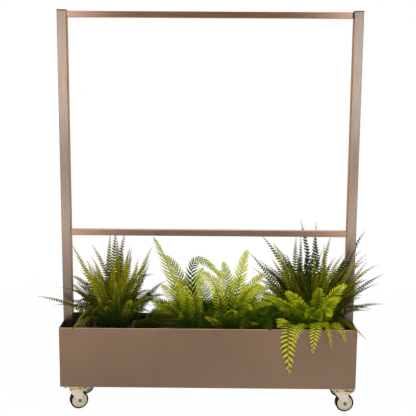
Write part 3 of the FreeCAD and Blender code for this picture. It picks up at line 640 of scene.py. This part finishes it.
def model_bar(sides, cuts):
    """A bar from the origin to one metre along X, cut across its length. It is left in edit mode."""
    deselect()
    bpy.ops.mesh.primitive_cylinder_add(vertices=sides, radius=1.0, depth=1.0, location=(0.5, 0, 0),
                                        rotation=(0, math.radians(90), 0))
    bpy.ops.object.transform_apply(location=True, rotation=True, scale=True)
    bar = bpy.context.object
    bpy.ops.object.mode_set(mode="EDIT")
    bpy.ops.mesh.select_mode(type="EDGE")
    bpy.ops.mesh.select_all(action="DESELECT")
    mesh = bmesh.from_edit_mesh(bar.data)
    for edge in mesh.edges:
        edge.select = abs(edge.verts[0].co.x - edge.verts[1].co.x) > 0.5
    bmesh.update_edit_mesh(bar.data)
    bpy.ops.mesh.subdivide(number_cuts=cuts)
    bpy.ops.mesh.select_mode(type="VERT")
    return bar


def shape_rings(cuts, width_at, height_at):
    """In edit mode: give each ring of a bar its width and its height."""
    for ring in range(cuts + 2):
        share = ring / (cuts + 1)
        pick(lambda place: abs(place.x - share) < 0.5 / (cuts + 1))
        bpy.ops.transform.resize(value=(1, width_at(share), height_at(share)), center_override=(share, 0, 0))


def model_leaflet(kind):
    """One leaflet, a metre long: a flat bar, broad near its foot and pointed."""
    bar = model_bar(kind["sides"], kind["cuts"])

    def width(share):
        swelling = min(kind["swell"] + (1 - kind["swell"]) * share, leaflet_end)
        return leaflet_point + (1 - leaflet_point) * math.sin(math.pi * swelling) ** kind["fullness"]

    def depth(share):
        return leaflet_depth * (1 - leaflet_thinning * share)

    shape_rings(kind["cuts"], width, depth)
    bpy.ops.object.mode_set(mode="OBJECT")
    bar.name = kind["frond"] + "_leaflet"
    return bar


def model_stem(kind):
    """A stem as long as the frond, which tapers to its tip."""
    bar = model_bar(stem_sides, stem_cuts)

    def thickness(share):
        return kind["stem"] * (1 - stem_taper * share)

    shape_rings(stem_cuts, thickness, thickness)
    bpy.ops.object.mode_set(mode="OBJECT")
    select_only(bar)
    bar.scale = (kind["length"], 1, 1)
    bpy.ops.object.transform_apply(location=False, rotation=False, scale=True)
    return bar


def frond_outline(kind, share):
    """How long the leaflets are along the frond, as a share of the longest."""
    place = (share - kind["first_share"]) / (1 - kind["first_share"])
    return min(1.0, kind["start"] + outline_rise * place) * (1 - place ** kind["taper"]) + outline_least


def model_frond(kind, seed):
    """A flat frond along X: a stem with pairs of leaflets, swept forward and drooping, shorter to the tip."""
    draw = random.Random(seed)
    leaflet = model_leaflet(kind)
    stem = model_stem(kind)
    leaves = []
    first = kind["first_share"]

    def jitter():
        return draw.uniform(-kind["jitter_deg"], kind["jitter_deg"])

    spacing = (1 - first) / kind["pairs"]
    for number in range(kind["pairs"]):
        for side in (-1, 1):
            share = first + spacing * (number + 0.25 + 0.25 * side)
            lean = kind["lean_deg"] + lean_out_deg * (1 - share) - lean_in_deg * share
            lean += draw.uniform(-lean_play_deg, lean_play_deg)
            length = kind["width"] / 2 * frond_outline(kind, share) * draw.uniform(*leaflet_play)
            length /= math.sin(math.radians(lean))
            width = min(kind["leaflet_width"] / 2, length * kind["stoutness"])
            leaf = leaflet.copy()
            leaf.data = leaflet.data.copy()
            bpy.context.scene.collection.objects.link(leaf)
            leaf.data.transform(Matrix.Diagonal((length, width, width, 1)))
            for vertex in leaf.data.vertices:
                out = vertex.co.x / length
                vertex.co.y -= side * kind["sweep"] * length * out ** 2
                vertex.co.z -= kind["drop"] * length * out ** 2
            leaf.data.transform(Matrix.Translation((share * kind["length"], 0, 0))
                                @ Matrix.Rotation(math.radians(side * lean), 4, "Z")
                                @ Matrix.Rotation(math.radians(kind["droop_deg"] + jitter()), 4, "Y")
                                @ Matrix.Rotation(math.radians(jitter()), 4, "X"))
            leaves.append(leaf)
    select_only(stem, *leaves)
    bpy.ops.object.join()
    bpy.ops.object.shade_smooth()
    bpy.data.objects.remove(leaflet)
    return stem


def frond_spine(kind, crown, row):
    """The start, the bow and the tip of a frond's middle line."""
    along, behind, above, arch = row
    ground = Vector((crown[0], front_wall + crown[1], soil_top))
    lean = Vector((along, behind, 0)) * kind["reach"]
    base = ground + lean * crown_share
    tip = ground + lean + UP * above * kind["reach"]
    bow = base.lerp(Vector((tip.x, tip.y, base.z)), kind["bend_share"])
    bow.z = base.z + (tip.z - base.z) * control_rise_share + arch * kind["reach"]
    return base, bow, tip, lean.normalized()


def unit(rows):
    """Each row of numbers as a vector one metre long."""
    return rows / np.linalg.norm(rows, axis=1, keepdims=True)


def grow_frond(template, kind, crown, row, tint_and_shade, breadth, draw):
    """A copy of a flat frond, laid along its middle line, held in the CAD box and painted for its leaf."""
    base, bow, tip, outward = [np.array(point) for point in frond_spine(kind, crown, row)]
    mesh = template.data.copy()
    flat = np.empty(len(mesh.vertices) * 3)
    mesh.vertices.foreach_get("co", flat)
    flat = flat.reshape(-1, 3)
    share = np.clip(flat[:, :1] / kind["length"], 0, 1)
    left = 1 - share
    place = base * left ** 2 + bow * 2 * left * share + tip * share ** 2
    heading = unit((bow - base) * left + (tip - bow) * share)
    facing = min(max(kind["facing_share"] + draw.uniform(*facing_play), 0), most_facing)
    level = np.cross(np.array(UP), outward)
    front = np.cross(np.array(ACROSS), heading)
    front = front * (1 if np.sum(front * level) > 0 else -1)
    broad = level * (1 - facing) + front * facing
    broad = unit(broad - heading * np.sum(broad * heading, axis=1, keepdims=True))
    upper = np.cross(heading, broad)
    twist = math.radians(draw.uniform(-1, 1) * kind["twist_deg"]) * share
    broad, upper = (broad * np.cos(twist) + upper * np.sin(twist),
                    upper * np.cos(twist) - broad * np.sin(twist))
    sway = draw.uniform(-1, 1) * kind["sway_share"] * kind["reach"] * np.sin(np.pi * share)
    place = place + broad * (flat[:, 1:2] * breadth + sway) + upper * flat[:, 2:] * breadth
    place = np.clip(place, np.array(cad_low), np.array(cad_high))
    mesh.vertices.foreach_set("co", place.ravel())
    painted = mesh.attributes.new("leaf", "FLOAT_COLOR", "POINT")
    across = np.clip(np.abs(flat[:, 1:2]) / (kind["width"] / 2), 0, 1)
    colours = np.hstack([share, across, np.full_like(share, tint_and_shade), np.ones_like(share)])
    painted.data.foreach_set("color", colours.ravel())
    frond = bpy.data.objects.new("frond", mesh)
    bpy.context.scene.collection.objects.link(frond)
    return frond


def grow_clump(template, kind, crown, rows, tints_and_shade, breadth, beside, draw):
    """A clump: the fronds of its table, each with shorter ones beside it."""
    fronds = []
    for row in rows:
        along, behind, above, arch = row
        # Painted shade: a frond lower than shaded_below takes a lower tint and so a darker colour, unless it
        # stands in front of lit_before or hangs down; the shorter fronds beside it take less still.
        light = 1 if above <= 0 or behind < kind["lit_before"] else min(above / kind["shaded_below"], 1)
        fronds.append(grow_frond(template, kind, crown, row, draw.uniform(*tints_and_shade) * light, breadth, draw))
        for _ in range(beside):
            near = (along * draw.uniform(*BESIDE["along"]) + draw.uniform(*beside_play),
                    behind * draw.uniform(*BESIDE["behind"]), above * draw.uniform(*BESIDE["above"]),
                    arch * draw.uniform(*BESIDE["arch"]))
            fronds.append(grow_frond(template, kind, crown, near, draw.uniform(*tints_and_shade) * light * beside_light,
                                     breadth * draw.uniform(*beside_breadth), draw))
    return fronds


def low_rows(draw):
    """Short fronds that spread low to all sides."""
    rows = []
    for _ in range(low_growth_fronds):
        turn = draw.uniform(0, 2 * math.pi)
        reach = draw.uniform(*low_growth_reach)
        rows.append((reach * math.cos(turn), low_growth_depth_share * reach * math.sin(turn),
                     draw.uniform(*low_growth_above), draw.uniform(*low_growth_arch)))
    return rows


def plant_ferns():
    """All the fronds of a fern, joined into one plant that stands for its CAD piece."""
    finishes = {leaf: leaf_finish(leaf, **tones) for leaf, tones in LEAVES.items()}
    draw = random.Random(fern_seed)
    templates = {kind["frond"]: model_frond(kind, seed)
                 for seed, kind in enumerate((SWORD, FEATHER, HANGING))}
    plants = {}
    for name, kind, crown, rows, tints_and_shade, breadth, beside in CLUMPS:
        template = templates[kind["frond"]]
        fronds = grow_clump(template, kind, crown, rows, tints_and_shade, breadth, beside, draw)
        plants.setdefault((name, kind["leaf"]), []).extend(fronds)
    for name, kind, places, tints_and_shade in LOW_GROWTH:
        for along in places:
            for behind in low_growth_behind:
                crown = (along + draw.uniform(*low_growth_play), behind)
                fronds = grow_clump(templates[kind["frond"]], kind, crown, low_rows(draw), tints_and_shade,
                                    low_growth_breadth, 0, draw)
                plants[name, kind["leaf"]].extend(fronds)
    for (name, leaf), fronds in plants.items():
        select_only(*fronds)
        bpy.ops.object.join()
        plant = bpy.context.object
        plant.name = name + "_fronds"
        plant.data.materials.append(finishes[leaf])
        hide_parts(name)
        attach(plant, "screen")
    for template in templates.values():
        bpy.data.objects.remove(template)


# Studio

def add_softbox(side, height, tall, power):
    """A tall lamp in front of the screen, to its left or right."""
    lamp = bpy.data.lights.new("softbox", "AREA")
    lamp.shape = "RECTANGLE"
    lamp.size, lamp.size_y = softbox_width, tall
    lamp.energy = power
    stand = bpy.data.objects.new("softbox", lamp)
    stand.location = (side * softbox_side, softbox_front, height)
    stand.rotation_euler = (softbox_aim - stand.location).to_track_quat("-Z", "Y").to_euler()
    bpy.context.scene.collection.objects.link(stand)


def add_ceiling():
    """A broad lamp overhead."""
    lamp = bpy.data.lights.new("ceiling", "AREA")
    lamp.size = ceiling_size
    lamp.energy = ceiling_power
    stand = bpy.data.objects.new("ceiling", lamp)
    stand.location = ceiling_place
    bpy.context.scene.collection.objects.link(stand)


def shown_to_eye(start):
    """Three masks: what the camera, a gloss and a clear surface see. None takes in the light on things."""
    eye = start.node("LightPath", output="Is Camera Ray")
    return eye, eye.other("Is Glossy Ray"), eye.other("Is Transmission Ray")


def light_room():
    """White to the eye, pale behind and dim in front to a gloss, and a weak even light on things."""
    world = bpy.data.worlds.new("room")
    bpy.context.scene.world = world
    world.use_nodes = True
    world.node_tree.nodes.clear()
    start = Link(world.node_tree)
    eye, gloss, clear = shown_to_eye(start)
    direction = start.node("TexCoord", output="Generated")
    behind = start.node("SeparateXYZ", None, {"Vector": direction}, output="Y").between(*front_fade)
    wall = front_glow + (1 - front_glow) * behind
    strength = eye + (1 - eye) * (gloss + clear) * wall
    strength = strength + (1 - eye) * (1 - gloss) * (1 - clear) * room_glow
    glow = start.node("Background", None, {"Strength": strength, "Color": (1, 1, 1, 1)})
    start.node("OutputWorld", None, {"Surface": glow})


def lay_floor():
    """A pale floor that takes the screen's shadow and fades into the white room."""
    deselect()
    bpy.ops.mesh.primitive_plane_add(size=floor_size)
    floor = bpy.context.object
    floor.name = "floor"
    material, start = new_finish("pale_floor")
    eye, gloss, clear = shown_to_eye(start)
    reach = start.node("VectorMath", {"operation": "LENGTH"}, {0: start.place()}, output="Value")
    glow_share = floor_glow + (1 - floor_glow) * reach.between(*floor_fade)
    matt = start.node("BsdfDiffuse", None, {"Color": floor_white})
    glow = start.node("Emission", None, {"Color": (1, 1, 1, 1), "Strength": 1.0})
    shown = start.node("MixShader", None, {0: (eye + gloss + clear) * glow_share, 1: matt, 2: glow})
    start.node("OutputMaterial", None, {"Surface": shown})
    floor.data.materials.append(material)


def set_camera():
    """The camera at the photograph's place, turned by its yaw, its pitch and its roll."""
    level, turn = math.cos(camera_pitch), math.sin(camera_pitch)
    ahead = Vector((math.sin(camera_yaw) * level, math.cos(camera_yaw) * level, -turn))
    right = Vector((math.cos(camera_yaw), -math.sin(camera_yaw), 0))
    above = right.cross(ahead)
    rolled_right = right * math.cos(camera_roll) + above * math.sin(camera_roll)
    rolled_above = above * math.cos(camera_roll) - right * math.sin(camera_roll)
    lens = bpy.data.cameras.new("camera")
    lens.lens = camera_lens
    camera = bpy.data.objects.new("camera", lens)
    axes = Matrix((rolled_right, rolled_above, -ahead)).transposed()
    camera.matrix_world = Matrix.Translation(camera_place) @ axes.to_4x4()
    bpy.context.scene.collection.objects.link(camera)
    bpy.context.scene.camera = camera


dress_frame_and_casters()
plant_ferns()
light_room()
for lamp_row in SOFTBOXES:
    add_softbox(-1, *lamp_row)
    add_softbox(1, *lamp_row)
add_ceiling()
lay_floor()
set_camera()
bpy.context.scene.view_settings.view_transform = "Standard"
